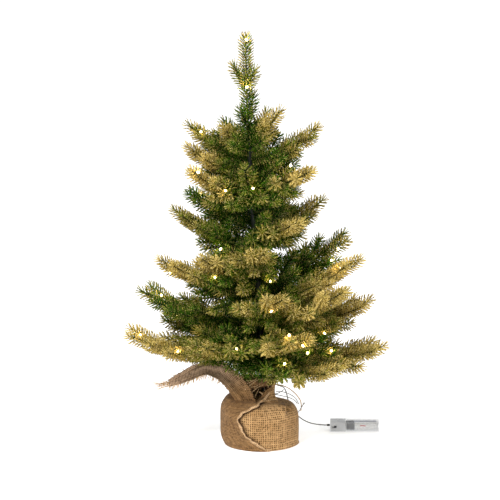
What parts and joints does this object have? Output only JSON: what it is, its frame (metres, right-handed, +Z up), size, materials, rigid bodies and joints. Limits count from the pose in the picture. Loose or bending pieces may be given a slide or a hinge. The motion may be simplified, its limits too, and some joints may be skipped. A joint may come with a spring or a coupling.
{
  "type": "artificial tabletop tree",
  "caption": "Small artificial tree with bendable needle branches on a leaning pole in a burlap-wrapped weight, with a light string and a battery box on its lead.",
  "frame": {"origin": "centre of the weighted bag's flat underside", "axes": "+Z up along the tree, -Y is the front, the burlap tail points to -X and the battery box lies at +X +Y"},
  "size_m": [0.3755, 0.2825, 0.594],
  "materials": {
    "needles": "satin needle film, deep green inside with gold glitter on the ends",
    "jute": "open plain weave of rough jute yarn",
    "painted_steel": "dark satin paint",
    "tape": "dark wrapped floral tape",
    "cement": "cast cement",
    "grey_plastic": "moulded",
    "clear_plastic": "clear moulded",
    "black_plastic": "moulded",
    "plated_steel": "nickel plated",
    "cell_wrap": null,
    "board": "circuit board",
    "wire_cover": "grey insulation",
    "string_cover": "green insulation",
    "led_resin": "lit warm white resin"
  },
  "bodies": {
    "base": {"cement_weight": "cement", "weight_tub": "grey_plastic", "trunk_socket": "grey_plastic", "trunk_pole": "painted_steel", "trunk_sleeve": "tape", "leader_shoot": "needles", "burlap_bag": "jute", "burlap_ruffle": "jute", "burlap_tail": "jute", "neck_tie": "jute", "light_string": "string_cover", "jute_strand": "jute", "battery_lead": "wire_cover", "lead_grommet": "black_plastic", "box_tray": "clear_plastic", "switch_body": "plated_steel", "circuit_board": "board", "battery_front": "cell_wrap", "battery_rear": "cell_wrap", "contact_front": "plated_steel", "contact_rear": "plated_steel", "contact_bridge": "plated_steel", "spring_front": "plated_steel", "spring_rear": "plated_steel", "cover_screw": "plated_steel"},
    "box_cover": {"box_cover": "clear_plastic"},
    "switch_slider": {"switch_slider": "black_plastic"},
    "branch_01": {"branch_01": "needles"},
    "branch_02": {"branch_02": "needles"},
    "branch_03": {"branch_03": "needles"},
    "branch_04": {"branch_04": "needles"},
    "branch_05": {"branch_05": "needles"},
    "branch_06": {"branch_06": "needles"},
    "branch_07": {"branch_07": "needles"},
    "branch_08": {"branch_08": "needles"},
    "branch_09": {"branch_09": "needles"},
    "branch_10": {"branch_10": "needles"},
    "branch_11": {"branch_11": "needles"},
    "branch_12": {"branch_12": "needles"},
    "branch_13": {"branch_13": "needles"},
    "branch_14": {"branch_14": "needles"},
    "branch_15": {"branch_15": "needles"},
    "branch_16": {"branch_16": "needles"},
    "branch_17": {"branch_17": "needles"},
    "branch_18": {"branch_18": "needles"},
    "branch_19": {"branch_19": "needles"},
    "branch_20": {"branch_20": "needles"},
    "branch_21": {"branch_21": "needles"},
    "branch_22": {"branch_22": "needles"},
    "branch_23": {"branch_23": "needles"},
    "branch_24": {"branch_24": "needles"},
    "branch_25": {"branch_25": "needles"},
    "branch_26": {"branch_26": "needles"},
    "branch_27": {"branch_27": "needles"},
    "branch_28": {"branch_28": "needles"},
    "branch_29": {"branch_29": "needles"},
    "branch_30": {"branch_30": "needles"},
    "branch_31": {"branch_31": "needles"},
    "branch_32": {"branch_32": "needles"},
    "branch_33": {"branch_33": "needles"}
  },
  "joints": [
    {"name": "cover_slide", "type": "slide", "parent": "base", "child": "box_cover", "axis": [1, 0, 0], "range_m": [0, 0.052]},
    {"name": "switch_slide", "type": "slide", "parent": "base", "child": "switch_slider", "axis": [-1, 0, 0], "range_m": [0, 0.003]},
    {"name": "branch_01_bend", "type": "hinge", "parent": "base", "child": "branch_01", "pos_m": [-0.01999, -0.00157, 0.427], "axis": [-0.342, 0.9397, 0], "range_deg": [-20, 20]},
    {"name": "branch_02_bend", "type": "hinge", "parent": "base", "child": "branch_02", "pos_m": [-0.01152, -0.00157, 0.43], "axis": [-0.342, -0.9397, 0], "range_deg": [-20, 20]},
    {"name": "branch_03_bend", "type": "hinge", "parent": "base", "child": "branch_03", "pos_m": [-0.01883, 0.00111, 0.405], "axis": [0.2419, 0.9703, 0], "range_deg": [-13, 20]},
    {"name": "branch_04_bend", "type": "hinge", "parent": "base", "child": "branch_04", "pos_m": [-0.00903, 0.00064, 0.392], "axis": [0.1392, -0.9903, 0], "range_deg": [-20, 20]},
    {"name": "branch_05_bend", "type": "hinge", "parent": "base", "child": "branch_05", "pos_m": [-0.01727, -0.00088, 0.378], "axis": [-0.1908, 0.9816, 0], "range_deg": [-17, 11]},
    {"name": "branch_06_bend", "type": "hinge", "parent": "base", "child": "branch_06", "pos_m": [-0.00863, -0.00308, 0.366], "axis": [-0.6691, -0.7431, 0], "range_deg": [-20, 20]},
    {"name": "branch_07_bend", "type": "hinge", "parent": "base", "child": "branch_07", "pos_m": [-0.01224, 0.0046, 0.372], "axis": [0.9994, -0.0349, 0], "range_deg": [-20, 20]},
    {"name": "branch_08_bend", "type": "hinge", "parent": "base", "child": "branch_08", "pos_m": [-0.01484, -0.0023, 0.346], "axis": [-0.5, 0.866, 0], "range_deg": [-20, 9]},
    {"name": "branch_09_bend", "type": "hinge", "parent": "base", "child": "branch_09", "pos_m": [-0.01314, 0.00216, 0.316], "axis": [0.4695, 0.8829, 0], "range_deg": [-15, 20]},
    {"name": "branch_10_bend", "type": "hinge", "parent": "base", "child": "branch_10", "pos_m": [-0.003, 0.0008, 0.29], "axis": [0.1736, -0.9848, 0], "range_deg": [-20, 20]},
    {"name": "branch_11_bend", "type": "hinge", "parent": "base", "child": "branch_11", "pos_m": [-0.01129, -0.00032, 0.276], "axis": [-0.0698, 0.9976, 0], "range_deg": [-20, 13]},
    {"name": "branch_12_bend", "type": "hinge", "parent": "base", "child": "branch_12", "pos_m": [-0.00619, -0.00459, 0.262], "axis": [-0.9976, 0.0698, 0], "range_deg": [-9, 17]},
    {"name": "branch_13_bend", "type": "hinge", "parent": "base", "child": "branch_13", "pos_m": [-0.00606, 0.00398, 0.304], "axis": [0.866, -0.5, 0], "range_deg": [-20, 17]},
    {"name": "branch_14_bend", "type": "hinge", "parent": "base", "child": "branch_14", "pos_m": [-0.00775, -0.00331, 0.24], "axis": [-0.7193, 0.6947, 0], "range_deg": [-9, 7]},
    {"name": "branch_15_bend", "type": "hinge", "parent": "base", "child": "branch_15", "pos_m": [0.00109, 0.0023, 0.212], "axis": [0.5, -0.866, 0], "range_deg": [-20, 20]},
    {"name": "branch_16_bend", "type": "hinge", "parent": "base", "child": "branch_16", "pos_m": [-0.00748, -0.0015, 0.216], "axis": [-0.3256, 0.9455, 0], "range_deg": [-20, 9]},
    {"name": "branch_17_bend", "type": "hinge", "parent": "base", "child": "branch_17", "pos_m": [0.00243, -0.00142, 0.196], "axis": [-0.309, -0.9511, 0], "range_deg": [-9, 3]},
    {"name": "branch_18_bend", "type": "hinge", "parent": "base", "child": "branch_18", "pos_m": [-0.00071, -0.00458, 0.182], "axis": [-0.9962, -0.0872, 0], "range_deg": [-20, 20]},
    {"name": "branch_19_bend", "type": "hinge", "parent": "base", "child": "branch_19", "pos_m": [-0.00357, 0.00448, 0.206], "axis": [0.9744, 0.225, 0], "range_deg": [-20, 20]},
    {"name": "branch_20_bend", "type": "hinge", "parent": "base", "child": "branch_20", "pos_m": [-0.0045, 0.00048, 0.162], "axis": [0.1045, 0.9945, 0], "range_deg": [-7, 19]},
    {"name": "branch_21_bend", "type": "hinge", "parent": "base", "child": "branch_21", "pos_m": [0.00329, -0.0029, 0.168], "axis": [-0.6293, -0.7771, 0], "range_deg": [-13, 3]},
    {"name": "branch_22_bend", "type": "hinge", "parent": "base", "child": "branch_22", "pos_m": [0.0055, 0.00032, 0.148], "axis": [0.0698, -0.9976, 0], "range_deg": [-20, 15]},
    {"name": "branch_23_bend", "type": "hinge", "parent": "base", "child": "branch_23", "pos_m": [-0.00107, -0.00381, 0.138], "axis": [-0.829, 0.5592, 0], "range_deg": [-20, 20]},
    {"name": "branch_24_bend", "type": "hinge", "parent": "base", "child": "branch_24", "pos_m": [0.00268, -0.00438, 0.142], "axis": [-0.9511, -0.309, 0], "range_deg": [-20, 11]},
    {"name": "branch_25_bend", "type": "hinge", "parent": "base", "child": "branch_25", "pos_m": [-0.00288, 0.00223, 0.144], "axis": [0.4848, 0.8746, 0], "range_deg": [-7, 7]},
    {"name": "branch_26_bend", "type": "hinge", "parent": "base", "child": "branch_26", "pos_m": [-0.00191, -0.00072, 0.119], "axis": [-0.1564, 0.9877, 0], "range_deg": [-5, 9]},
    {"name": "branch_27_bend", "type": "hinge", "parent": "base", "child": "branch_27", "pos_m": [0.00763, -0.0004, 0.112], "axis": [-0.0872, -0.9962, 0], "range_deg": [-20, 15]},
    {"name": "branch_28_bend", "type": "hinge", "parent": "base", "child": "branch_28", "pos_m": [0.00553, -0.00358, 0.119], "axis": [-0.7771, -0.6293, 0], "range_deg": [-20, 19]},
    {"name": "branch_29_bend", "type": "hinge", "parent": "base", "child": "branch_29", "pos_m": [0.00134, 0.00446, 0.122], "axis": [0.9703, 0.2419, 0], "range_deg": [-20, 20]},
    {"name": "branch_30_bend", "type": "hinge", "parent": "base", "child": "branch_30", "pos_m": [0.00481, 0.00363, 0.13], "axis": [0.788, -0.6157, 0], "range_deg": [-20, 15]},
    {"name": "branch_31_bend", "type": "hinge", "parent": "base", "child": "branch_31", "pos_m": [-0.0129, 0.00363, 0.428], "axis": [0.788, -0.6157, 0], "range_deg": [-20, 20]},
    {"name": "branch_32_bend", "type": "hinge", "parent": "base", "child": "branch_32", "pos_m": [-0.01193, -0.0045, 0.348], "axis": [-0.9781, 0.2079, 0], "range_deg": [-20, 20]},
    {"name": "branch_33_bend", "type": "hinge", "parent": "base", "child": "branch_33", "pos_m": [-0.0058, -0.0039, 0.302], "axis": [-0.848, -0.5299, 0], "range_deg": [-19, 20]}
  ]
}
